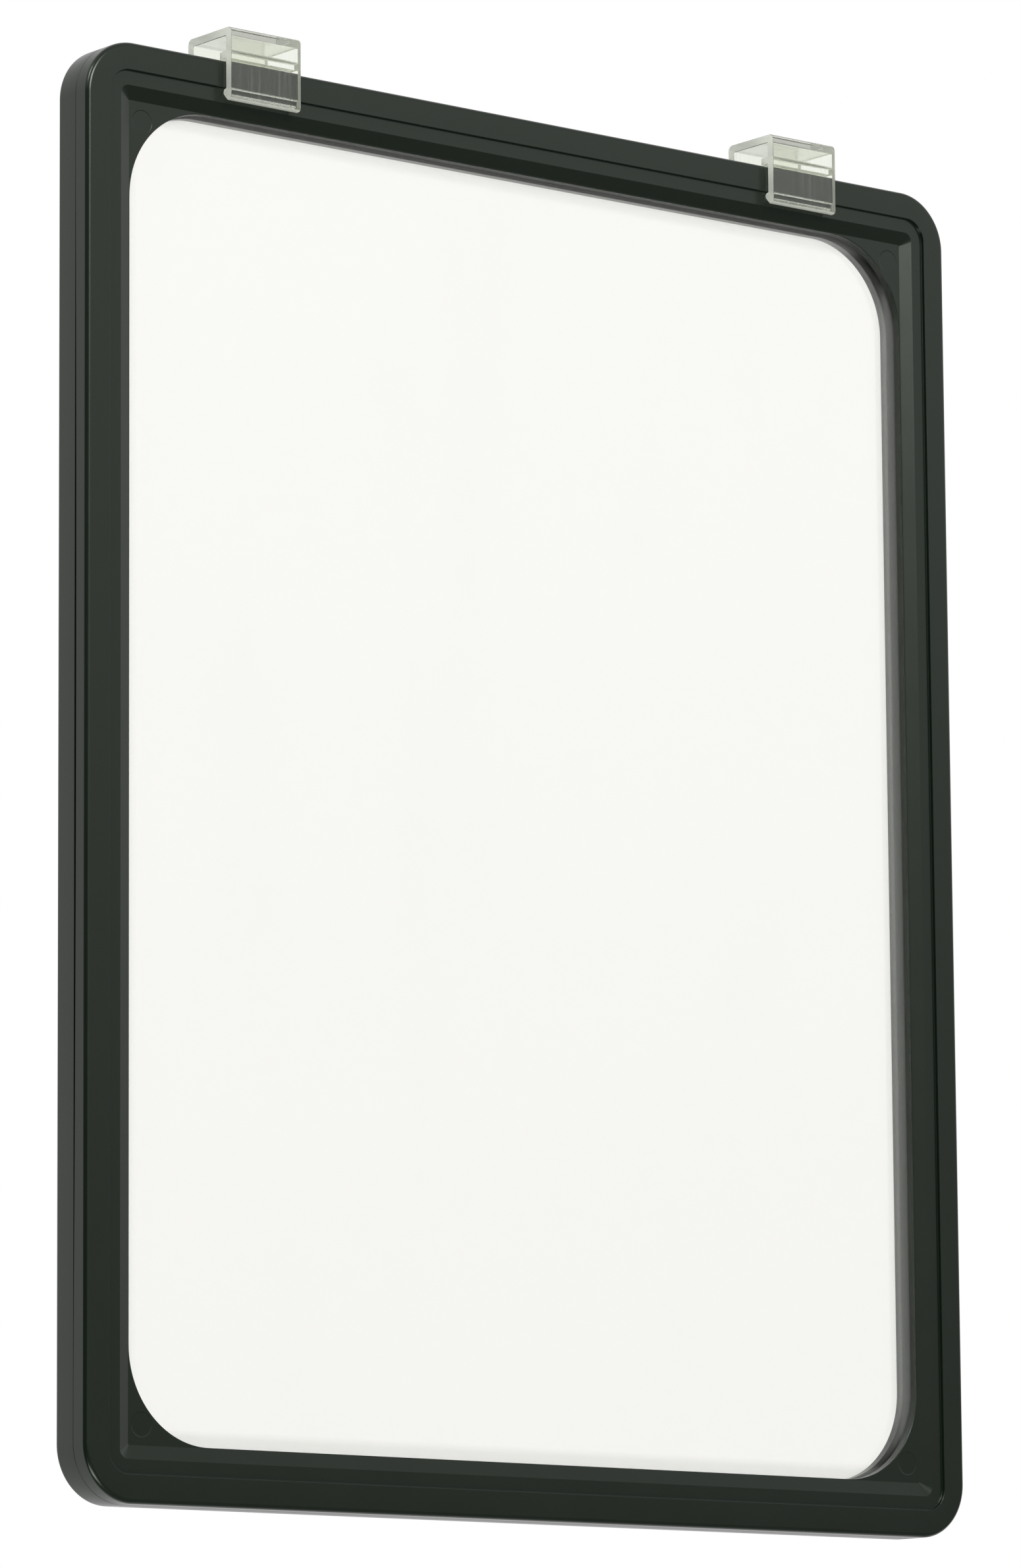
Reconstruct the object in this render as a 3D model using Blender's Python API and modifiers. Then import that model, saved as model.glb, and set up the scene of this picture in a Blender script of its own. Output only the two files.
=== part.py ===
# Portrait sign holder that hangs under a wire of a display rack.
# Two black frame halves close face to face round a shallow pocket. The pocket holds two clear
# protective sheets, with room for a printed sign between them. Two clear clips grip the top
# rail and slide along it, and the rack's wire runs through the channel in each clip.
#
# Everything is laid out in holder space: X across from the middle of the frame, Y back from
# the front face, Z up from the bottom edge. The origin empty then moves the whole holder, so
# that the wire's seat under the clips' top plates, midway along the rail, is at the origin.

import math

import bmesh
import bpy
from mathutils import Vector

MM = 0.001

# clear protective sheets, the size of the sign that they cover
SHEET_WIDTH = 215.9 * MM
SHEET_HEIGHT = 279.4 * MM
SHEET_THICKNESS = 0.3 * MM
SHEET_CORNER = 3.0 * MM
SHEET_EDGE_PLAY = 0.4 * MM
SHEET_FACE_PLAY = 0.3 * MM

# stepped section of the rails, measured inwards from the outer edge of the frame
POCKET_INSET = 9.65 * MM
CORNER_RADIUS = 12.0 * MM
EDGE_ROUND = 1.0 * MM
RIM_WIDTH = 5.9 * MM
STEP_CORNER = 5.0 * MM
STEP_EASE = 0.1 * MM
STEP_DRAFT = 0.1 * MM
BAND_WIDTH = 3.1 * MM
BAND_CORNER = 2.0 * MM
SLOPE_WIDTH = 2.8 * MM
SLOPE_CORNER = 0.3 * MM
LEDGE_WIDTH = 0.2 * MM
WINDOW_CORNER = 20.0 * MM
WINDOW_EASE = 0.12 * MM

# depths, measured from either face of the frame
STEP_DEPTH = 0.7 * MM
FACE_RECESS = 1.8 * MM
FLANGE_THICKNESS = 1.95 * MM
POCKET_DEPTH = 2.9 * MM

# joint of the two halves: the seam lies just behind the front flange, and its lips stand
# apart in the middle of the left side, where the thin outer wall has bowed
SEAM_LIP = 0.35 * MM
SEAM_GAP = 0.2 * MM
SEAM_BOW = 0.5 * MM
SEAM_BOW_LENGTH = 240.0 * MM

# the rails are cored from the seam side, and a tongue of the front half locates the back half
OUTER_WALL = 2.0 * MM
POCKET_WALL = 2.0 * MM
FACE_WALL = 1.7 * MM
TONGUE_WALL = 1.2 * MM
TONGUE_PLAY = 0.3 * MM
TONGUE_REACH = 1.9 * MM

# clear clips: a deep shackle over the rail, with a catch bead on each leg
CLIP_WIDTH = 18.1 * MM
CLIP_WALL = 1.9 * MM
CLIP_STAND_OFF = 0.45 * MM
CLIP_TOP_WALL = 1.75 * MM
CLIP_CORNER_ROUND = 0.55 * MM
CLIP_FOOT_ROUND = 0.6 * MM
CLIP_INNER_ROUND = 0.4 * MM
LEAD_IN_ROUND = 0.3 * MM
CLIP_END_ROUND = 0.2 * MM
BEAD_CLEARANCE = 0.2 * MM
BEAD_CATCH_PLAY = 0.3 * MM
LEAD_IN_HEIGHT = 1.05 * MM
STOP_RIB_REACH = 2.2 * MM
STOP_RIB_HEIGHT = 1.55 * MM
STOP_RIB_CLEARANCE = 0.3 * MM
STOP_RIB_ROUND = 0.3 * MM
WIRE_CHANNEL_HEIGHT = 3.25 * MM
LEFT_CLIP_FROM_SIDE = 44.05 * MM
RIGHT_CLIP_FROM_SIDE = 43.2 * MM

# smoothness of the round stretches
CORNER_SEGMENTS = 12
SIDE_SEGMENTS = 12
EDGE_SEGMENTS = 5
BEAD_SEGMENTS = 10
FILLET_SEGMENTS = 4
END_SEGMENTS = 2

# angles between faces, in degrees: flat below the first, shaded sharp above the second, and
# rounded off above the third where a clip's ends meet its sides
FLAT_ANGLE = 1
SHARP_ANGLE = 35
ROUNDED_ANGLE = 60

# points nearer to each other than this are one point
WELD_DISTANCE = 0.01 * MM

# sizes that follow from the ones above
FRAME_WIDTH = SHEET_WIDTH + 2 * (SHEET_EDGE_PLAY + POCKET_INSET)
FRAME_HEIGHT = SHEET_HEIGHT + 2 * (SHEET_EDGE_PLAY + POCKET_INSET)
FLANGE_BACK = FACE_RECESS + FLANGE_THICKNESS
FRAME_DEPTH = 2 * FLANGE_BACK + POCKET_DEPTH
SEAM_DEPTH = FLANGE_BACK + SEAM_LIP
BAND_INSET = RIM_WIDTH + BAND_WIDTH
SLOPE_INSET = BAND_INSET + SLOPE_WIDTH
WINDOW_INSET = SLOPE_INSET + LEDGE_WIDTH
POCKET_CORNER = SHEET_CORNER + SHEET_EDGE_PLAY
CORE_INNER = POCKET_INSET - POCKET_WALL
CORE_CORNER = POCKET_CORNER + POCKET_WALL
CORE_FLOOR = STEP_DEPTH + FACE_WALL
TONGUE_OUTER = OUTER_WALL + TONGUE_PLAY
TONGUE_INNER = TONGUE_OUTER + TONGUE_WALL
TONGUE_TIP = SEAM_DEPTH + TONGUE_REACH
BEAD_RADIUS = CLIP_STAND_OFF + STEP_DEPTH - BEAD_CLEARANCE
STOP_RIB_BOTTOM = FRAME_HEIGHT + STOP_RIB_CLEARANCE
STOP_RIB_TOP = STOP_RIB_BOTTOM + STOP_RIB_HEIGHT
SEAT_Z = STOP_RIB_TOP + WIRE_CHANNEL_HEIGHT
CLIP_TOP = SEAT_Z + CLIP_TOP_WALL
LEFT_CLIP_X = LEFT_CLIP_FROM_SIDE - FRAME_WIDTH / 2
RIGHT_CLIP_X = FRAME_WIDTH / 2 - RIGHT_CLIP_FROM_SIDE
WIRE_SEAT = Vector((0.0, FRAME_DEPTH / 2, SEAT_Z))


def clear_scene():
    for item in list(bpy.data.objects):
        bpy.data.objects.remove(item, do_unlink=True)


def plastic(name, colour, roughness, transmission=0.0, alpha=1.0):
    material = bpy.data.materials.new(name)
    material.use_nodes = True
    shader = material.node_tree.nodes["Principled BSDF"]
    shader.inputs["Base Color"].default_value = (*colour, 1.0)
    shader.inputs["Roughness"].default_value = roughness
    shader.inputs["Metallic"].default_value = 0.0
    shader.inputs["Transmission Weight"].default_value = transmission
    shader.inputs["Alpha"].default_value = alpha
    material.diffuse_color = (*colour, alpha)
    return material


def arc(centre, radius, start, end, segments):
    """Points on an arc from start to end degrees, both ends included."""
    points = []
    for step in range(segments + 1):
        angle = math.radians(start + (end - start) * step / segments)
        points.append((centre[0] + radius * math.cos(angle), centre[1] + radius * math.sin(angle)))
    return points


def rounded_rectangle(half_width, low, high, radius):
    """Four corner arcs of a rectangle as lists of (x, z), anticlockwise from the top right."""
    corners = (
        (half_width - radius, high - radius, 0),
        (radius - half_width, high - radius, 90),
        (radius - half_width, low + radius, 180),
        (half_width - radius, low + radius, 270),
    )
    return [arc((x, z), radius, start, start + 90, CORNER_SEGMENTS) for x, z, start in corners]


def contour(inset, depth, radius, bow=0.0):
    """One closed line round the frame, at an inset from its outer edge and a depth from its front.

    Its left side has stations of its own, and a bow curves that side towards the front face.
    """
    half_width = FRAME_WIDTH / 2 - inset
    corners = rounded_rectangle(half_width, inset, FRAME_HEIGHT - inset, radius)
    line = [(x, depth, z) for x, z in corners[0] + corners[1]]
    for step in range(SIDE_SEGMENTS + 1):
        share = 1 - 2 * step / SIDE_SEGMENTS
        z = FRAME_HEIGHT / 2 + share * SEAM_BOW_LENGTH / 2
        line.append((-half_width, depth - bow * (1 - share * share), z))
    line += [(x, depth, z) for x, z in corners[2] + corners[3]]
    return line


def face_section():
    """Frame face from the side wall to the window wall, as (inset, depth, corner radius)."""
    section = []
    for inset, depth in arc((EDGE_ROUND, EDGE_ROUND), EDGE_ROUND, 180, 270, EDGE_SEGMENTS):
        section.append((inset, depth, CORNER_RADIUS - inset))
    section.append((RIM_WIDTH - STEP_EASE, 0.0, STEP_CORNER + STEP_EASE))
    section.append((RIM_WIDTH, STEP_EASE, STEP_CORNER))
    section.append((RIM_WIDTH + STEP_DRAFT, STEP_DEPTH, STEP_CORNER - STEP_DRAFT))
    section.append((BAND_INSET, STEP_DEPTH, BAND_CORNER))
    section.append((SLOPE_INSET, FACE_RECESS, SLOPE_CORNER))
    section.append((WINDOW_INSET - WINDOW_EASE, FACE_RECESS, WINDOW_CORNER + WINDOW_EASE))
    section.append((WINDOW_INSET, FACE_RECESS + WINDOW_EASE, WINDOW_CORNER))
    section.append((WINDOW_INSET, FLANGE_BACK, WINDOW_CORNER))
    return section


def front_section():
    """Front half: its face, the lip of the pocket, the core, and the tongue behind the seam."""
    lip = SEAM_DEPTH - SEAM_GAP / 2
    tongue_corner = CORNER_RADIUS - TONGUE_OUTER
    section = [(0.0, lip, CORNER_RADIUS, SEAM_BOW)]
    section += face_section()
    section.append((POCKET_INSET, FLANGE_BACK, POCKET_CORNER))
    section.append((POCKET_INSET, lip, POCKET_CORNER))
    section.append((CORE_INNER, lip, CORE_CORNER))
    section.append((CORE_INNER, CORE_FLOOR, CORE_CORNER))
    section.append((TONGUE_INNER, CORE_FLOOR, tongue_corner - TONGUE_WALL))
    section.append((TONGUE_INNER, TONGUE_TIP, tongue_corner - TONGUE_WALL))
    section.append((TONGUE_OUTER, TONGUE_TIP, tongue_corner))
    section.append((TONGUE_OUTER, lip, tongue_corner, SEAM_BOW))
    return section


def back_section():
    """Back half: the same face seen from behind, the rest of the pocket's depth, and the core."""
    lip = SEAM_DEPTH + SEAM_GAP / 2
    section = [(0.0, lip, CORNER_RADIUS)]
    section += [(inset, FRAME_DEPTH - depth, radius) for inset, depth, radius in face_section()]
    section.append((POCKET_INSET, FRAME_DEPTH - FLANGE_BACK, POCKET_CORNER))
    section.append((POCKET_INSET, lip, POCKET_CORNER))
    section.append((CORE_INNER, lip, CORE_CORNER))
    section.append((CORE_INNER, FRAME_DEPTH - CORE_FLOOR, CORE_CORNER))
    section.append((OUTER_WALL, FRAME_DEPTH - CORE_FLOOR, CORNER_RADIUS - OUTER_WALL))
    section.append((OUTER_WALL, lip, CORNER_RADIUS - OUTER_WALL))
    return section


def frame_half(name, section, collection, material):
    """Loft through the contours of a closed section, joined up in rings round the frame."""
    shape = bmesh.new()
    rings = [[shape.verts.new(point) for point in contour(*entry)] for entry in section]
    count = len(rings[0])
    for ring, following in zip(rings, rings[1:] + rings[:1]):
        for index in range(count):
            other = (index + 1) % count
            shape.faces.new((ring[index], ring[other], following[other], following[index]))
    bmesh.ops.recalc_face_normals(shape, faces=shape.faces)
    mesh = bpy.data.meshes.new(name)
    shape.to_mesh(mesh)
    shape.free()
    mesh.materials.append(material)
    mesh.shade_smooth()
    mesh.set_sharp_from_angle(angle=math.radians(SHARP_ANGLE))
    half = bpy.data.objects.new(name, mesh)
    collection.objects.link(half)
    normals = half.modifiers.new("Flat faces stay flat", "WEIGHTED_NORMAL")
    normals.keep_sharp = True
    return half


def outline_object(name, outline, thickness, collection, material):
    """Flat outline, thickened evenly to both sides of its plane."""
    curve = bpy.data.curves.new(name, "CURVE")
    curve.dimensions = "2D"
    curve.fill_mode = "BOTH"
    curve.extrude = thickness / 2
    spline = curve.splines.new("POLY")
    spline.points.add(len(outline) - 1)
    for point, (u, v) in zip(spline.points, outline):
        point.co = (u, v, 0.0, 1.0)
    spline.use_cyclic_u = True
    curve.materials.append(material)
    item = bpy.data.objects.new(name, curve)
    collection.objects.link(item)
    weld = item.modifiers.new("Weld", "WELD")
    weld.merge_threshold = WELD_DISTANCE
    return item


def clear_sheet(name, depth, collection, material):
    """Clear sheet whose front face lies at a depth in the pocket."""
    corners = rounded_rectangle(SHEET_WIDTH / 2, -SHEET_HEIGHT / 2, SHEET_HEIGHT / 2, SHEET_CORNER)
    sheet = outline_object(name, sum(corners, []), SHEET_THICKNESS, collection, material)
    sheet.location = (0, depth + SHEET_THICKNESS / 2, FRAME_HEIGHT / 2)
    sheet.rotation_euler = (math.radians(90), 0, 0)
    return sheet


def filleted(corners):
    """Outline with each corner (y, z, radius) rounded by an arc, or left sharp at radius 0."""
    outline = []
    for index, (y, z, radius) in enumerate(corners):
        if radius == 0:
            outline.append((y, z))
            continue
        here = Vector((y, z))
        back = (Vector(corners[index - 1][:2]) - here).normalized()
        ahead = (Vector(corners[(index + 1) % len(corners)][:2]) - here).normalized()
        half_angle = back.angle(ahead) / 2
        centre = here + (back + ahead).normalized() * radius / math.sin(half_angle)
        start = here + back * radius / math.tan(half_angle) - centre
        end = here + ahead * radius / math.tan(half_angle) - centre
        for step in range(FILLET_SEGMENTS + 1):
            direction = start.slerp(end, step / FILLET_SEGMENTS).normalized()
            outline.append(tuple(centre + direction * radius))
    return outline


def clip_outline():
    """Side view of a clip as (y, z) from the middle of the rail's top.

    The back leg is drawn from the top plate down its outside, round the foot, up the lead-in
    and over the catch bead and the stop rib to the wire's seat. The front leg mirrors it.
    """
    inner = FRAME_DEPTH / 2 + CLIP_STAND_OFF
    outer = inner + CLIP_WALL
    rib_end = inner - STOP_RIB_REACH
    # the bead clears the rim's lower edge by the catch play where the two pass
    bead_drop = math.sqrt(BEAD_RADIUS ** 2 - CLIP_STAND_OFF ** 2)
    bead_z = -RIM_WIDTH - BEAD_CATCH_PLAY - bead_drop
    bead = arc((inner, bead_z), BEAD_RADIUS, 225, 90, BEAD_SEGMENTS)
    # the lead-in leaves the bead at 45 degrees and runs down into the foot
    foot = bead[0][1] - LEAD_IN_HEIGHT
    leg = [(outer, CLIP_TOP - FRAME_HEIGHT, CLIP_CORNER_ROUND)]
    leg += [(outer, foot, CLIP_FOOT_ROUND), (bead[0][0] + LEAD_IN_HEIGHT, foot, LEAD_IN_ROUND)]
    leg += [(y, z, 0) for y, z in bead]
    leg.append((inner, STOP_RIB_BOTTOM - FRAME_HEIGHT, CLIP_INNER_ROUND))
    leg.append((rib_end, STOP_RIB_BOTTOM - FRAME_HEIGHT, STOP_RIB_ROUND))
    leg.append((rib_end, STOP_RIB_TOP - FRAME_HEIGHT, STOP_RIB_ROUND))
    leg.append((inner, STOP_RIB_TOP - FRAME_HEIGHT, CLIP_INNER_ROUND))
    leg.append((inner, SEAT_Z - FRAME_HEIGHT, CLIP_INNER_ROUND))
    return filleted(leg + [(-y, z, radius) for y, z, radius in reversed(leg)])


def clip(name, centre_x, collection, material):
    """Clear clip, made about its own middle on the rail so that it can slide along X."""
    item = outline_object(name, clip_outline(), CLIP_WIDTH, collection, material)
    item.location = (centre_x, FRAME_DEPTH / 2, FRAME_HEIGHT)
    # the outline's plane is turned so that its X runs along Y, its Y along Z and its depth along X
    item.rotation_euler = (math.radians(90), 0, math.radians(90))
    # each end becomes one flat face, and then only its edges are steep enough to be rounded
    flat = item.modifiers.new("One face per end", "DECIMATE")
    flat.decimate_type = "DISSOLVE"
    flat.angle_limit = math.radians(FLAT_ANGLE)
    bevel = item.modifiers.new("Rounded ends", "BEVEL")
    bevel.width = CLIP_END_ROUND
    bevel.segments = END_SEGMENTS
    bevel.limit_method = "ANGLE"
    bevel.angle_limit = math.radians(ROUNDED_ANGLE)
    bevel.use_clamp_overlap = False
    return item


def main():
    clear_scene()
    holder = bpy.data.collections.new("sign_holder")
    bpy.context.scene.collection.children.link(holder)

    black = plastic("black_moulded_plastic", (0.022, 0.024, 0.022), 0.38)
    clear_clip = plastic("clear_moulded_plastic", (0.84, 0.88, 0.80), 0.08, 0.9, 0.45)
    clear_cover = plastic("clear_sheet_plastic", (0.95, 0.96, 0.95), 0.04, 0.9, 0.25)

    front_sheet_depth = FLANGE_BACK + SHEET_FACE_PLAY
    back_sheet_depth = FRAME_DEPTH - FLANGE_BACK - SHEET_FACE_PLAY - SHEET_THICKNESS
    pieces = [
        frame_half("front_half", front_section(), holder, black),
        frame_half("back_half", back_section(), holder, black),
        clear_sheet("front_clear_sheet", front_sheet_depth, holder, clear_cover),
        clear_sheet("back_clear_sheet", back_sheet_depth, holder, clear_cover),
        clip("left_clip", LEFT_CLIP_X, holder, clear_clip),
        clip("right_clip", RIGHT_CLIP_X, holder, clear_clip),
    ]

    origin = bpy.data.objects.new("wire_seat_origin", None)
    origin.location = -WIRE_SEAT
    holder.objects.link(origin)
    for piece in pieces:
        piece.parent = origin

    print("frame", round(FRAME_WIDTH / MM, 2), "x", round(FRAME_DEPTH / MM, 2), "x",
          round(FRAME_HEIGHT / MM, 2), "mm, wire seat", round(SEAT_Z / MM, 2), "mm up")


main()
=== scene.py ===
from math import cos, pi, radians, sin

import bpy
import numpy as np
from mathutils import Matrix, Vector


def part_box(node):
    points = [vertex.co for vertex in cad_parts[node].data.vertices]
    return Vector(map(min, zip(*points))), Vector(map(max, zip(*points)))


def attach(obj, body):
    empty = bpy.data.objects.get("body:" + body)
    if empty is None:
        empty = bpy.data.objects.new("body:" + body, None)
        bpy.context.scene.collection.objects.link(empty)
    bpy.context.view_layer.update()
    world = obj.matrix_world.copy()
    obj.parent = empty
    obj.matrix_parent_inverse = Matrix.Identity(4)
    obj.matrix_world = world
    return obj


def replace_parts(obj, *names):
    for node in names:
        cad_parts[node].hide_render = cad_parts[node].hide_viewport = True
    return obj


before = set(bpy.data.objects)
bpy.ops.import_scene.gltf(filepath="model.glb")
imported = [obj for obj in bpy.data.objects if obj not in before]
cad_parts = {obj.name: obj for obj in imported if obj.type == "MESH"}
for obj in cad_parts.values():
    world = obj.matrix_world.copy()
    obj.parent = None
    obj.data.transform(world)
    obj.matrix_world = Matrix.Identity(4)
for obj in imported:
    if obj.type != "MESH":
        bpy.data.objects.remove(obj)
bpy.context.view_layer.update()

# Portrait sign holder: two black frame halves, two clear sheets and two clear clips.
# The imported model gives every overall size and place; the section sizes here are in millimetres.

mm = 0.001
frameLow = Vector(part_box("front_half")[0])
frameHigh = Vector(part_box("back_half")[1])
frameMiddle = (frameLow + frameHigh) / 2
frameWidth, frameDepth, frameHeight = (frameHigh - frameLow) / mm
print("frame loaded:", round(frameWidth, 2), "x", round(frameDepth, 2), "x", round(frameHeight, 2), "mm")


class Wire:
    # one output socket of a node tree; sums, products and powers of wires add Math nodes
    def __init__(self, tree, socket=None):
        self.tree = tree
        self.socket = socket

    def node(self, kind, settings, inputs, output=0):
        # settings come first, because some of them change the node's sockets
        made = self.tree.nodes.new("ShaderNode" + kind)
        for name, value in settings.items():
            setattr(made, name, value)
        for name, value in inputs.items():
            if isinstance(value, Wire):
                self.tree.links.new(value.socket, made.inputs[name])
            else:
                made.inputs[name].default_value = value
        return Wire(self.tree, made.outputs[output])

    def math(self, operation, first, second=0.0):
        return self.node("Math", {"operation": operation}, {0: first, 1: second})

    def __add__(self, other):
        return self.math("ADD", self, other)

    def __radd__(self, other):
        return self.math("ADD", other, self)

    def __sub__(self, other):
        return self.math("SUBTRACT", self, other)

    def __rsub__(self, other):
        return self.math("SUBTRACT", other, self)

    def __mul__(self, other):
        return self.math("MULTIPLY", self, other)

    def __rmul__(self, other):
        return self.math("MULTIPLY", other, self)

    def __pow__(self, other):
        return self.math("POWER", self, other)

    def __abs__(self):
        return self.math("ABSOLUTE", self)

    def rise(self, low, high):
        # 0 below low, 1 above high, and a smooth step between them
        ends = {"From Min": low, "From Max": high}
        return self.node("MapRange", {"interpolation_type": "SMOOTHSTEP"}, {"Value": self, **ends})

    def band(self, middle, half, soft):
        # 1 within half of the middle, fading to 0 over the soft width
        return 1 - abs(self - middle).rise(half, half + soft)

    def parts(self, axes="XYZ"):
        return [self.node("SeparateXYZ", {}, {0: self}, axis) for axis in axes]

    def noise(self, size, detail=2.0, roughness=0.5):
        # soft noise round 0.5, with spots of about this size in millimetres
        inputs = {"Vector": self, "Scale": 1 / (size * mm), "Detail": detail, "Roughness": roughness}
        return self.node("TexNoise", {}, inputs, "Fac")

    def stretched(self, scale):
        return self.node("Mapping", {}, {"Vector": self, "Scale": scale})

    def blend(self, first, second):
        # colour between two others, by this wire's value; the Mix node has its colour inputs at 6
        # and 7 and its colour output at 2
        inputs = {"Factor": self, 6: (*first, 1.0), 7: (*second, 1.0)}
        return self.node("Mix", {"data_type": "RGBA"}, inputs, 2)


def newMaterial(name):
    # an empty Principled material: its shader, a wire to start from, and object coordinates
    material = bpy.data.materials.new(name)
    material.use_nodes = True
    tree = material.node_tree
    start = Wire(tree)
    place = start.node("TexCoord", {}, {}, "Object")
    return material, tree.nodes["Principled BSDF"], start, place


def shaderOver(material, factor):
    # a new Principled shader mixed over what the material has so far, by a wire from 0 to 1
    tree = material.node_tree
    surface = tree.nodes["Material Output"].inputs["Surface"]
    over = tree.nodes.new("ShaderNodeBsdfPrincipled")
    mix = tree.nodes.new("ShaderNodeMixShader")
    tree.links.new(factor.socket, mix.inputs[0])
    tree.links.new(surface.links[0].from_socket, mix.inputs[1])
    tree.links.new(over.outputs[0], mix.inputs[2])
    tree.links.new(mix.outputs[0], surface)
    return over


def setShader(shader, **values):
    # sockets by name with spaces as capitals, such as baseColor; wires are linked
    for name, value in values.items():
        spaced = "".join(" " + letter if letter.isupper() else letter for letter in name)
        socket = shader.inputs[spaced.title().replace("Ior", "IOR")]
        if isinstance(value, Wire):
            shader.id_data.links.new(value.socket, socket)
        else:
            socket.default_value = value


def unit(vectors):
    # vectors divided by their own lengths
    return vectors / np.linalg.norm(vectors, axis=-1, keepdims=True)


def roundedOutline(corners, radii, steps):
    # Each corner of a closed outline becomes an arc. Its centre lies on the corner's bisector, one
    # radius from both sides, and its points turn evenly from one side's foot to the other's.
    toLast = unit(np.roll(corners, 1, axis=0) - corners)
    toNext = unit(np.roll(corners, -1, axis=0) - corners)
    halfAngle = np.arccos(np.sum(toLast * toNext, axis=1, keepdims=True)) / 2
    reach = radii[:, None]
    centres = corners + unit(toLast + toNext) * reach / np.sin(halfAngle)
    start = corners + toLast * reach / np.tan(halfAngle) - centres
    end = corners + toNext * reach / np.tan(halfAngle) - centres
    turn = (pi - 2 * halfAngle)[:, None]
    share = np.linspace(0, 1, steps + 1)[None, :, None]
    spokes = np.sin((1 - share) * turn) * start[:, None] + np.sin(share * turn) * end[:, None]
    return centres[:, None] + spokes / np.sin(turn)


def finishPiece(name, points, faces, material, body):
    # one finished piece: smooth faces, with flat ones kept flat by weighted normals
    sharpAngle = radians(35)
    mesh = bpy.data.meshes.new(name)
    mesh.from_pydata(points, [], faces)
    mesh.materials.append(material)
    mesh.shade_smooth()
    mesh.set_sharp_from_angle(angle=sharpAngle)
    piece = bpy.data.objects.new(name, mesh)
    bpy.context.scene.collection.objects.link(piece)
    normals = piece.modifiers.new("Flat faces stay flat", "WEIGHTED_NORMAL")
    normals.keep_sharp = True
    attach(piece, body)
    return piece


# black frame halves, as insets from the outer edge and depths from each half's own face
rail = {
    "cornerRadius": 12.0,
    "edgeRound": 1.0,
    "rimWidth": 5.9,
    "stepCorner": 5.0,
    "stepDraft": 0.1,
    "stepDepth": 0.7,
    "bandWidth": 3.1,
    "bandCorner": 2.0,
    "slopeWidth": 2.8,
    "slopeCorner": 0.3,
    "faceRecess": 1.8,
    "ledgeWidth": 0.2,
    "windowCorner": 20.0,
    "flange": 1.95,
    "pocketInset": 9.65,
    "pocketCorner": 3.4,
    "pocketWall": 2.0,
    "faceWall": 1.7,
    "outerWall": 2.0,
    "tongueWall": 1.2,
    "tonguePlay": 0.3,
    "tongueReach": 1.9,
    "seamLip": 0.35,
    "seamGap": 0.06,
    "seamBow": 0.5,
    "seamBowLength": 240.0,
    "edgeFillet": 0.12,
    "innerFillet": 0.06,
    "filletSteps": 5,
    "cornerSteps": 28,
    "sideSteps": 24,
}


def railCorners(isFront):
    # corners of one half's section: inset, depth, corner radius in plan, bow of the seam, fillet
    r = rail
    flangeBack = r["faceRecess"] + r["flange"]
    seam = flangeBack + r["seamLip"]
    lip = (seam if isFront else frameDepth - seam) - r["seamGap"] / 2
    bow = r["seamBow"] if isFront else 0.0
    band = r["rimWidth"] + r["bandWidth"]
    slope = band + r["slopeWidth"]
    window = slope + r["ledgeWidth"]
    coreInner = r["pocketInset"] - r["pocketWall"]
    coreCorner = r["pocketCorner"] + r["pocketWall"]
    coreFloor = r["stepDepth"] + r["faceWall"]
    outer, edge, inner = r["cornerRadius"], r["edgeFillet"], r["innerFillet"]
    corners = [
        (0.0, lip, outer, bow, inner),
        (0.0, 0.0, outer, 0.0, r["edgeRound"]),
        (r["rimWidth"], 0.0, r["stepCorner"], 0.0, edge),
        (r["rimWidth"] + r["stepDraft"], r["stepDepth"], r["stepCorner"] - r["stepDraft"], 0.0, edge),
        (band, r["stepDepth"], r["bandCorner"], 0.0, edge),
        (slope, r["faceRecess"], r["slopeCorner"], 0.0, edge),
        (window, r["faceRecess"], r["windowCorner"], 0.0, edge),
        (window, flangeBack, r["windowCorner"], 0.0, inner),
        (r["pocketInset"], flangeBack, r["pocketCorner"], 0.0, inner),
        (r["pocketInset"], lip, r["pocketCorner"], 0.0, inner),
        (coreInner, lip, coreCorner, 0.0, inner),
        (coreInner, coreFloor, coreCorner, 0.0, inner),
    ]
    if isFront:
        tongueOuter = r["outerWall"] + r["tonguePlay"]
        tongueInner = tongueOuter + r["tongueWall"]
        tongueTip = seam + r["tongueReach"]
        corners += [
            (tongueInner, coreFloor, outer - tongueInner, 0.0, inner),
            (tongueInner, tongueTip, outer - tongueInner, 0.0, inner),
            (tongueOuter, tongueTip, outer - tongueOuter, 0.0, inner),
            (tongueOuter, lip, outer - tongueOuter, bow, inner),
        ]
    else:
        corners += [
            (r["outerWall"], coreFloor, outer - r["outerWall"], 0.0, inner),
            (r["outerWall"], lip, outer - r["outerWall"], 0.0, inner),
        ]
    return np.array(corners)


def stationsRound():
    # Stations anticlockwise round the frame from its right side. Each is a place between the corner
    # centres, from -1 to 1 across and up, and a unit direction out from there. A quarter turn of
    # the direction at each corner is followed by a straight run to the next corner.
    turn = np.linspace(0, pi / 2, rail["cornerSteps"] + 1)
    run = np.linspace(0, 1, rail["sideSteps"] + 1)[1:-1, None]
    signs = np.array(((1, 1), (-1, 1), (-1, -1), (1, -1)))
    places, directions = [], []
    for index in range(4):
        here, following = signs[index], signs[(index + 1) % 4]
        angles = turn + index * pi / 2
        places += [np.tile(here, (len(turn), 1)), here * (1 - run) + following * run]
        spokes = np.stack((np.cos(angles), np.sin(angles)), axis=1)
        directions += [spokes, np.tile(spokes[-1], (len(run), 1))]
    return np.concatenate(places), np.concatenate(directions)


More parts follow.
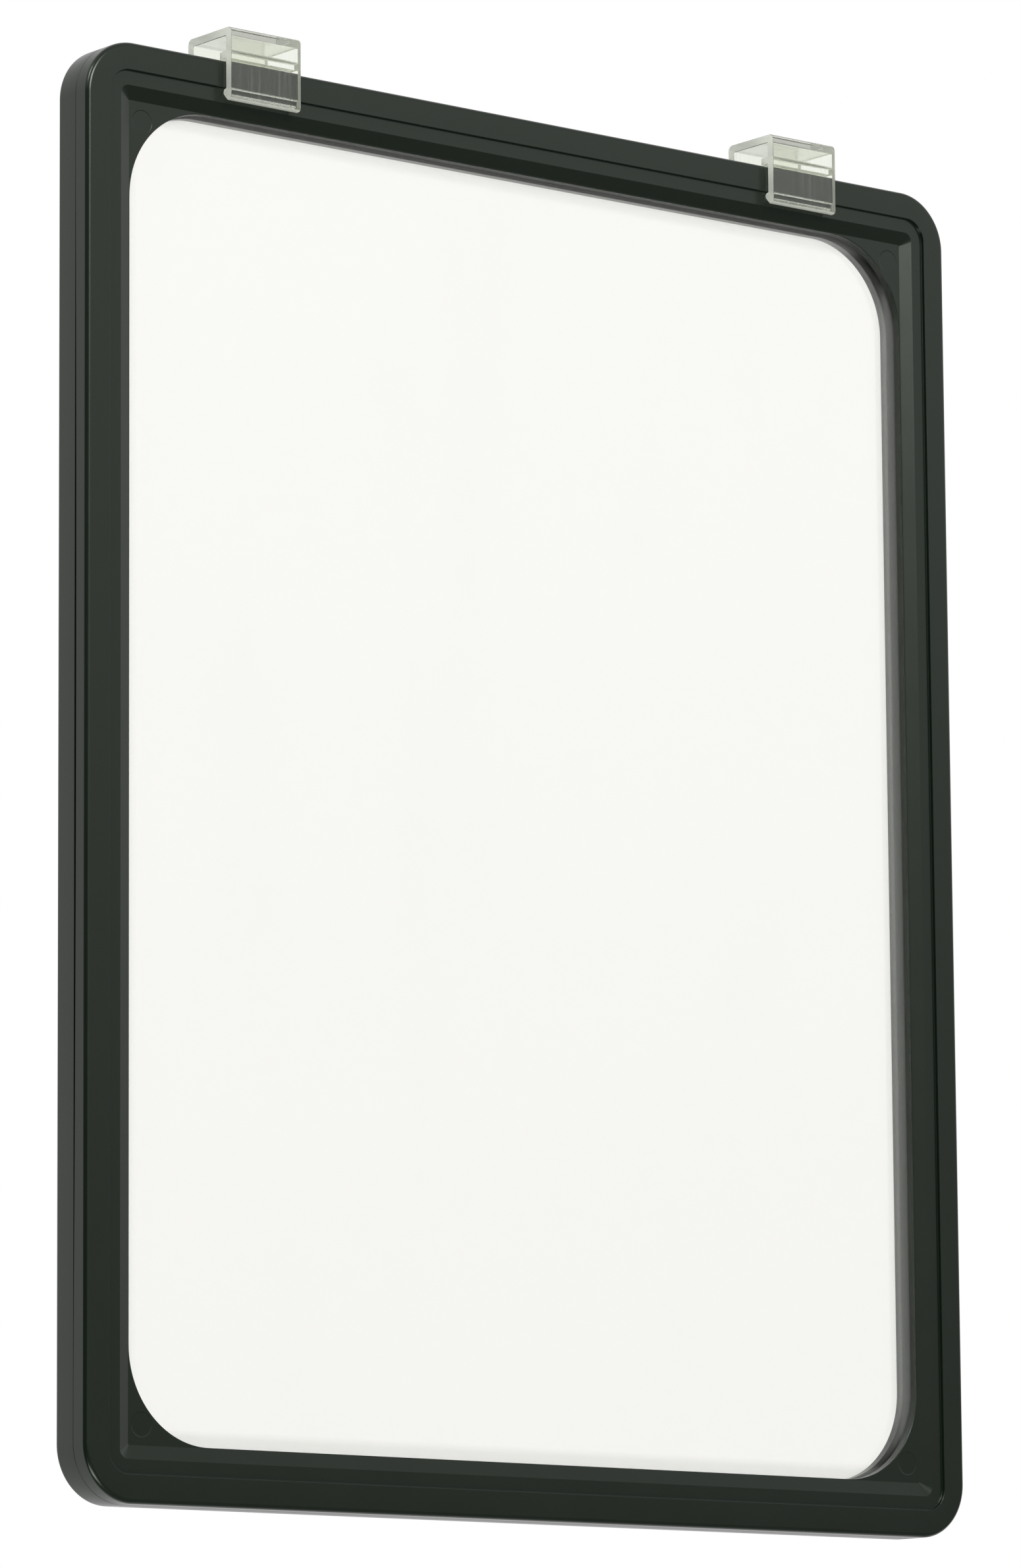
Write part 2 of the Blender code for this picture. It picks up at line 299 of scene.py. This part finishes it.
def frameHalf(name, isFront, material):
    # The section, with its corners rounded, is carried round the frame. At each station a point
    # lies at the corner's centre plus its corner radius along the station's direction, and the
    # front half's lip on the left side is bowed towards the face as a parabola.
    corners = railCorners(isFront)
    section = roundedOutline(corners[:, :2], corners[:, 4], rail["filletSteps"])
    inset, depth = section[..., 0], section[..., 1]
    radius = corners[:, 2, None] + corners[:, 0, None] - inset
    bow = np.broadcast_to(corners[:, 3, None], inset.shape)
    inset, depth, radius, bow = (array.reshape(-1, 1) for array in (inset, depth, radius, bow))
    places, directions = stationsRound()
    half = np.array((frameWidth, frameHeight)) / 2
    across = places[:, 0] * (half[0] - inset - radius) + directions[:, 0] * radius
    up = places[:, 1] * (half[1] - inset - radius) + directions[:, 1] * radius
    onLeft = np.isclose(directions[:, 0], -1)
    arch = np.clip(1 - (2 * up / rail["seamBowLength"]) ** 2, 0, 1) * onLeft
    back = depth - bow * arch
    y = frameLow.y + back * mm if isFront else frameHigh.y - back * mm
    points = np.stack((frameMiddle.x + across * mm, y, frameMiddle.z + up * mm), axis=-1)
    index = np.arange(back.size).reshape(back.shape)
    beside = np.roll(index, -1, axis=1)
    faces = np.stack((index, beside, np.roll(beside, -1, axis=0), np.roll(index, -1, axis=0)), axis=-1)
    faces = faces.reshape(-1, 4)
    # the back half is built mirrored, so its faces are turned round to point outwards
    if not isFront:
        faces = faces[:, ::-1]
    piece = finishPiece(name, points.reshape(-1, 3), faces, material, "frame")
    # the edges within reach, which have the larger fillets, are marked as rubbed
    rubbed = np.repeat(corners[:, 4] > rail["innerFillet"], rail["filletSteps"] + 1)
    wear = piece.data.attributes.new("edgeWear", "FLOAT", "POINT")
    wear.data.foreach_set("value", np.repeat(rubbed, back.shape[1]).astype(np.float32))
    return piece


# finish of the black moulded plastic; lengths are in millimetres
blackLook = {
    "colour": (0.0042, 0.0078, 0.0046),
    "paleColour": (0.0053, 0.0092, 0.0057),
    "gloss": 0.33,
    "glossSpread": 0.05,
    "edgeGloss": 0.10,
    "mottleSize": 9.0,
    "grainSize": 0.35,
    "grainHeight": 0.002,
    "swellSize": 22.0,
    "swellHeight": 0.01,
    "pinAcross": 15.1,
    "pinUpward": 16.05,
    "pinRadius": 2.6,
    "pinEdge": 0.2,
    "pinDepth": 0.03,
    "pinGloss": 0.03,
    "panelSkin": 0.05,
    "panelFade": 0.02,
    "reflection": 1.50,
    "reflectionTint": (0.93, 1.0, 0.90),
}


def blackPlastic():
    # satin black styrene: mottled gloss, a fine grain, slow swells that bend reflections, edges
    # rubbed a little brighter, and a shallow sunk pin mark in each corner of both faces
    look = blackLook
    material, shader, start, place = newMaterial("blackPlastic")
    mottle = place.noise(look["mottleSize"], detail=3.0, roughness=0.6)
    grain = place.noise(look["grainSize"])
    swell = place.noise(look["swellSize"], detail=1.0)
    wear = start.node("Attribute", {"attribute_name": "edgeWear"}, {}, "Fac")
    x, y, z = place.parts()
    fromSide = frameWidth / 2 * mm - abs(x - frameMiddle.x)
    fromEnd = frameHeight / 2 * mm - abs(z - frameMiddle.z)
    across = fromSide - look["pinAcross"] * mm
    upward = fromEnd - look["pinUpward"] * mm
    fromPin = (across * across + upward * upward) ** 0.5
    panelDepth = (frameDepth / 2 - rail["faceRecess"]) * mm
    onPanel = abs(y - frameMiddle.y).band(panelDepth, look["panelSkin"] * mm, look["panelFade"] * mm)
    pinInner = look["pinRadius"] - look["pinEdge"]
    pin = onPanel * (1 - fromPin.rise(pinInner * mm, look["pinRadius"] * mm))
    roughness = look["gloss"] + look["glossSpread"] * (mottle - 0.5) - look["edgeGloss"] * wear
    roughness = roughness - look["pinGloss"] * pin
    height = grain * look["grainHeight"] + swell * look["swellHeight"] - pin * look["pinDepth"]
    bump = start.node("Bump", {}, {"Height": height, "Distance": mm}, "Normal")
    colour = mottle.blend(look["colour"], look["paleColour"])
    setShader(shader, baseColor=colour, roughness=roughness, normal=bump)
    setShader(shader, ior=look["reflection"], specularTint=(*look["reflectionTint"], 1.0))
    return material


black = blackPlastic()
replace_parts(frameHalf("front_frame", True, black), "front_half")
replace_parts(frameHalf("back_frame", False, black), "back_half")
print("frame halves lofted")


# clear clips, a deep shackle in side view; heights are measured down from the wire's seat
clip = {
    "wall": 1.9,
    "topWall": 1.75,
    "cornerRound": 1.25,
    "footRound": 0.9,
    "leadInRound": 0.3,
    "innerRound": 0.2,
    "beadReach": 0.95,
    "beadRound": 0.85,
    "beadTop": 11.19,
    "beadFillet": 0.08,
    "ribReach": 2.2,
    "ribTop": 3.25,
    "ribHeight": 1.55,
    "ribRound": 0.2,
    "endRound": 0.12,
    "filletSteps": 8,
    "endSteps": 4,
}


def clipCorners(outer, top, foot):
    # one leg from the top plate down its outside, round the foot, up the 45 degree lead-in and
    # over the bead and the stop rib to the wire's seat; the other leg mirrors it
    inner = outer - clip["wall"]
    seat = top - clip["topWall"]
    beadTop = seat - clip["beadTop"]
    beadMiddle = inner - clip["beadReach"] + clip["beadRound"]
    # The bead is one corner between a level top and the lead-in, rounded by its own radius. The
    # corner lies one radius and root two radii inward of the arc's centre.
    beadCorner = beadMiddle - clip["beadRound"] * (1 + 2 ** 0.5)
    leadIn = beadCorner + beadTop - foot
    ribEnd = inner - clip["ribReach"]
    ribTop = seat - clip["ribTop"]
    ribBottom = ribTop - clip["ribHeight"]
    leg = [
        (outer, top, clip["cornerRound"]),
        (outer, foot, clip["footRound"]),
        (leadIn, foot, clip["leadInRound"]),
        (beadCorner, beadTop, clip["beadRound"]),
        (inner, beadTop, clip["beadFillet"]),
        (inner, ribBottom, clip["innerRound"]),
        (ribEnd, ribBottom, clip["ribRound"]),
        (ribEnd, ribTop, clip["ribRound"]),
        (inner, ribTop, clip["innerRound"]),
        (inner, seat, clip["innerRound"]),
    ]
    return np.array(leg + [(-y, z, radius) for y, z, radius in reversed(leg)])


def clearClip(name, node, material):
    # The rounded side view is repeated across the clip's width. Towards each end the outline is
    # drawn in along its own normals by a quarter circle, and a flat face closes it.
    low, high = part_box(node)
    corners = clipCorners(high.y / mm, high.z / mm, low.z / mm)
    outline = roundedOutline(corners[:, :2], corners[:, 2], clip["filletSteps"]).reshape(-1, 2)
    along = unit(np.roll(outline, -1, axis=0) - np.roll(outline, 1, axis=0))
    inward = np.stack((along[:, 1], -along[:, 0]), axis=1)
    angle = np.linspace(0, pi / 2, clip["endSteps"] + 1)
    drawn = clip["endRound"] * (1 - np.sin(angle))
    fromEnd = clip["endRound"] * (1 - np.cos(angle))
    drawn = np.concatenate((drawn, drawn[::-1]))
    x = np.concatenate((low.x / mm + fromEnd, high.x / mm - fromEnd[::-1]))
    flat = outline[None] + inward[None] * drawn[:, None, None]
    across = np.broadcast_to(x[:, None, None], (*flat.shape[:2], 1))
    points = np.concatenate((across, flat), axis=2).reshape(-1, 3) * mm
    index = np.arange(len(points)).reshape(flat.shape[:2])
    beside = np.roll(index, -1, axis=1)
    quads = np.stack((index[:-1], index[1:], beside[1:], beside[:-1]), axis=-1).reshape(-1, 4)
    faces = quads.tolist() + [index[0].tolist(), index[-1, ::-1].tolist()]
    piece = finishPiece(name, points, faces, material, node)
    cut = np.zeros(index.shape, dtype=np.float32)
    cut[[0, -1]] = 1.0
    piece.data.attributes.new("cutEnd", "FLOAT", "POINT").data.foreach_set("value", cut.ravel())
    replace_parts(piece, node)


# finish of the clear clips; lengths are in millimetres
clipLook = {
    "colour": (0.86, 0.885, 0.79),
    "cloudColour": (0.89, 0.91, 0.84),
    "roughness": 0.06,
    "hazeRoughness": 0.14,
    "cloudSize": 3.5,
    "cloudRise": (0.45, 0.75),
    "rippleSize": 4.0,
    "rippleStretch": (0.5, 1.0, 1.0),
    "rippleHeight": 0.001,
    "refraction": 1.50,
    "streakSize": 0.8,
    "streakStretch": (1.0, 1.0, 0.03),
    "streakRise": (0.50, 0.80),
    "streakHaze": 0.10,
    "streakColour": (0.80, 0.83, 0.77),
    "ribSkin": 0.15,
    "ribFade": 0.19,
    "ribRoughness": 1.0,
    "cutRise": (0.5, 1.0),
    "cutColour": (0.93, 0.98, 0.84),
    "cutPaleColour": (0.98, 1.0, 0.92),
    "cutRoughness": 0.5,
    "cutClearness": 0.45,
    "footHeight": 1.0,
    "footFade": 0.2,
    "footSkin": (0.1, 0.3),
    "footMatt": 0.75,
    "sawSize": 0.6,
    "sawStretch": (1.0, 1.0, 0.2),
    "sawHeight": 0.01,
}


def clearClipPlastic():
    # clear plastic with a faint green cast, clouded in places, its faces a little wavy and drawn
    # with fine upright streaks
    look = clipLook
    material, shader, start, place = newMaterial("clearClipPlastic")
    cloud = place.noise(look["cloudSize"])
    ripple = place.stretched(look["rippleStretch"]).noise(look["rippleSize"], detail=1.0)
    haze = cloud.rise(*look["cloudRise"])
    roughness = look["roughness"] + (look["hazeRoughness"] - look["roughness"]) * haze
    # the rack wire rubs the tops of the stop ribs rough
    low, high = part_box("left_clip")
    y, z = place.parts("YZ")
    fromOutside = high.y - abs(y)
    ribTop = z.band(-clip["ribTop"] * mm, look["ribSkin"] * mm, look["ribSkin"] * mm)
    onRib = ribTop * fromOutside.rise((clip["wall"] - look["ribFade"]) * mm, clip["wall"] * mm)
    roughness = start.math("MAXIMUM", roughness, onRib * look["ribRoughness"])
    bump = start.node("Bump", {}, {"Height": ripple * look["rippleHeight"], "Distance": mm}, "Normal")
    colour = cloud.blend(look["colour"], look["cloudColour"])
    setShader(shader, baseColor=colour, roughness=roughness, normal=bump)
    setShader(shader, ior=look["refraction"], transmissionWeight=1.0)
    drawn = place.stretched(look["streakStretch"])
    streak = drawn.noise(look["streakSize"], detail=3.0, roughness=0.7)
    milky = shaderOver(material, streak.rise(*look["streakRise"]) * look["streakHaze"])
    setShader(milky, baseColor=(*look["streakColour"], 1.0), roughness=look["hazeRoughness"])
    setShader(milky, ior=look["refraction"])
    # the two ends are cut across and stay matt, and the rim rubs the feet nearly as matt
    saw = place.stretched(look["sawStretch"]).noise(look["sawSize"], detail=3.0)
    cut = start.node("Attribute", {"attribute_name": "cutEnd"}, {}, "Fac").rise(*look["cutRise"])
    footTop = low.z + look["footHeight"] * mm
    foot = 1 - z.rise(footTop, footTop + look["footFade"] * mm)
    skinLow, skinHigh = look["footSkin"]
    rubbed = foot * fromOutside.rise(skinLow * mm, skinHigh * mm) * look["footMatt"]
    ends = shaderOver(material, start.math("MAXIMUM", cut, rubbed))
    rough = start.node("Bump", {}, {"Height": saw * look["sawHeight"], "Distance": mm}, "Normal")
    matt = saw.blend(look["cutColour"], look["cutPaleColour"])
    setShader(ends, baseColor=matt, normal=rough, roughness=look["cutRoughness"])
    setShader(ends, ior=look["refraction"], transmissionWeight=look["cutClearness"])
    return material


clearPlastic = clearClipPlastic()
for side in ("left", "right"):
    clearClip(side + "_clear_clip", side + "_clip", clearPlastic)
print("clips made")


# finish of the clear sheets, whose CAD solids stay; lengths are in millimetres
sheetLook = {
    "colour": (0.995, 0.992, 0.975),
    "rubColour": (0.990, 0.987, 0.968),
    "roughness": 0.004,
    "rubRoughness": 0.03,
    "rubSize": 40.0,
    "rubStretch": (1.0, 1.0, 0.4),
    "rubRise": (0.5, 0.8),
    "scratchSize": 3.0,
    "scratchStretch": (1.0, 1.0, 0.04),
    "scratchHeight": 0.0004,
    "refraction": 1.49,
    "haze": (0.02, 0.09),
    "hazeColour": (0.93, 0.95, 0.90),
    "hazeEdge": (3.8, 6.0),
    "hazeRoughness": 0.3,
}


def clearSheetPlastic():
    # clear protective sheet, nearly colourless, faintly rubbed in streaks by wiping, with a thin
    # haze that thickens close to its edges, where it has rubbed in the pocket
    look = sheetLook
    material, shader, start, place = newMaterial("clearSheetPlastic")
    wiped = place.stretched(look["rubStretch"]).noise(look["rubSize"], detail=3.0)
    rub = wiped.rise(*look["rubRise"])
    scratch = place.stretched(look["scratchStretch"]).noise(look["scratchSize"])
    roughness = look["roughness"] + (look["rubRoughness"] - look["roughness"]) * rub
    height = scratch * look["scratchHeight"]
    bump = start.node("Bump", {}, {"Height": height, "Distance": mm}, "Normal")
    colour = rub.blend(look["colour"], look["rubColour"])
    setShader(shader, baseColor=colour, roughness=roughness, normal=bump)
    setShader(shader, ior=look["refraction"], transmissionWeight=1.0)
    # how far a point lies inside the sheet's nearest side, from 0 at the edge
    x, z = place.parts("XZ")
    low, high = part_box("front_clear_sheet")
    fromSide = (high.x - low.x) / 2 - abs(x - frameMiddle.x)
    fromEnd = (high.z - low.z) / 2 - abs(z - frameMiddle.z)
    inside = start.math("MINIMUM", fromSide, fromEnd)
    least, most = look["haze"]
    fadeStart, fadeEnd = look["hazeEdge"]
    edge = 1 - inside.rise(fadeStart * mm, fadeEnd * mm)
    haze = shaderOver(material, least + (most - least) * edge)
    setShader(haze, baseColor=(*look["hazeColour"], 1.0), roughness=look["hazeRoughness"])
    setShader(haze, ior=look["refraction"])
    return material


sheetPlastic = clearSheetPlastic()
for node in ("front_clear_sheet", "back_clear_sheet"):
    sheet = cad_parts[node]
    sheet.data.materials.clear()
    sheet.data.materials.append(sheetPlastic)
print("sheets dressed")


# studio: a white wall behind, a dimmer room in front, three soft boxes and a pale floor;
# lengths are in metres, and each rise is a pair of values along a unit direction
studio = {
    "floorBelow": 1.45,  # the holder hangs at about eye level
    "floorSize": 40.0,
    "floorColour": (0.80, 0.80, 0.79),
    "floorRoughness": 0.9,
    "wallTurn": 20.0,  # the white wall faces a little to the left, in degrees
    "wallRise": (-0.10, 0.48),
    "wallLevel": 0.90,
    "throughRise": (0.0, 0.3),
    "throughFront": 0.8,  # share of the white that clear plastic shows from the front room
    "roomDark": 0.22,
    "roomPale": 0.92,
    "roomRise": (0.02, 0.27),
    "roomHigh": 0.55,
    "highRise": (0.25, 0.60),
    "leftDark": 0.12,
    "leftRise": (-0.60, -0.10),
    "leftHighRise": (0.25, 0.50),
    # soft boxes by place, size and radiance: in front, high on the left, low on the left
    "boxes": (
        ((-0.10, -1.60, 0.75), (0.80, 0.50), 12.0),
        ((-1.10, -0.35, 1.00), (0.50, 0.50), 8.0),
        ((-0.77, -0.63, -1.13), (1.10, 0.40), 5.0),
    ),
}


def paleFloor():
    # a level square far below the holder, which glossy faces do not reflect
    half = studio["floorSize"] / 2
    z = frameLow.z - studio["floorBelow"]
    corners = np.array(((-half, -half, z), (half, -half, z), (half, half, z), (-half, half, z)))
    mesh = bpy.data.meshes.new("floor")
    mesh.from_pydata(corners, [], [(0, 1, 2, 3)])
    material, shader = newMaterial("paleFloor")[:2]
    setShader(shader, baseColor=(*studio["floorColour"], 1.0), roughness=studio["floorRoughness"])
    mesh.materials.append(material)
    floor = bpy.data.objects.new("floor", mesh)
    bpy.context.scene.collection.objects.link(floor)
    floor.visible_glossy = False


def studioRoom():
    # Seen straight on the room is white, and through clear plastic it is white behind and a little
    # dimmer in front. What it lends to surfaces is nearly white from behind. In front it is dark
    # at eye level, pale a little above it, dimmer again overhead, and darkest on the left.
    world = bpy.data.worlds.new("studioRoom")
    world.use_nodes = True
    bpy.context.scene.world = world
    start = Wire(world.node_tree)
    x, y, z = start.node("TexCoord", {}, {}, "Generated").parts()
    turn = radians(studio["wallTurn"])
    wall = (y * cos(turn) + x * sin(turn)).rise(*studio["wallRise"])
    dark, pale, high = studio["roomDark"], studio["roomPale"], studio["roomHigh"]
    room = dark + (pale - dark) * z.rise(*studio["roomRise"]) - (pale - high) * z.rise(*studio["highRise"])
    left = (1 - x.rise(*studio["leftRise"])) * (1 - z.rise(*studio["leftHighRise"]))
    room = room * (1 - (1 - studio["leftDark"]) * left)
    lent = room * (1 - wall) + wall * studio["wallLevel"]
    straight = start.node("LightPath", {}, {}, "Is Camera Ray")
    shown = studio["throughFront"] + (1 - studio["throughFront"]) * y.rise(*studio["throughRise"])
    through = start.node("LightPath", {}, {}, "Is Transmission Ray") * shown
    level = lent + (1 - lent) * (straight + through)
    background = world.node_tree.nodes["Background"]
    world.node_tree.links.new(level.socket, background.inputs["Strength"])
    background.inputs["Color"].default_value = (1.0, 1.0, 1.0, 1.0)


def softBox(place, size, radiance):
    # Hidden from the camera, also through clear plastic, which would show a white rectangle. Its
    # power is its radiance times pi times its area.
    light = bpy.data.lights.new("softBox", "AREA")
    light.shape = "RECTANGLE"
    light.size, light.size_y = size
    light.energy = radiance * pi * light.size * light.size_y
    lamp = bpy.data.objects.new("softBox", light)
    lamp.location = place
    lamp.visible_camera = False
    lamp.visible_transmission = False
    towards = frameMiddle - lamp.location
    lamp.rotation_euler = towards.to_track_quat("-Z", "Y").to_euler()
    bpy.context.scene.collection.objects.link(lamp)


# camera at the photograph's angle; the two offsets are in its own picture plane, in metres
view = {
    "azimuth": -39.069,
    "elevation": -9.230,
    "roll": -0.4397,
    "distance": 1.5562,
    "offset": (-0.00303, 0.00619),
    "lens": 168.77,
    "sensor": 36.0,
}


def photoCamera():
    # back points from the holder to the camera, and right lies level until the roll turns it
    azimuth, elevation, roll = (radians(view[key]) for key in ("azimuth", "elevation", "roll"))
    back = Vector((sin(azimuth) * cos(elevation), -cos(azimuth) * cos(elevation), sin(elevation)))
    right = Vector((cos(azimuth), sin(azimuth), 0.0))
    up = back.cross(right)
    data = bpy.data.cameras.new("camera")
    data.lens = view["lens"]
    data.sensor_width = view["sensor"]
    camera = bpy.data.objects.new("camera", data)
    offsetRight, offsetUp = view["offset"]
    aim = frameMiddle + right * offsetRight + up * offsetUp
    camera.location = aim + back * view["distance"]
    rolledRight = right * cos(roll) + up * sin(roll)
    rolledUp = up * cos(roll) - right * sin(roll)
    camera.rotation_mode = "QUATERNION"
    camera.rotation_quaternion = Matrix((rolledRight, rolledUp, back)).transposed().to_quaternion()
    bpy.context.scene.collection.objects.link(camera)
    bpy.context.scene.camera = camera


paleFloor()
studioRoom()
for place, size, radiance in studio["boxes"]:
    softBox(place, size, radiance)
photoCamera()
bpy.context.scene.view_settings.view_transform = "Standard"
print("studio and camera set")
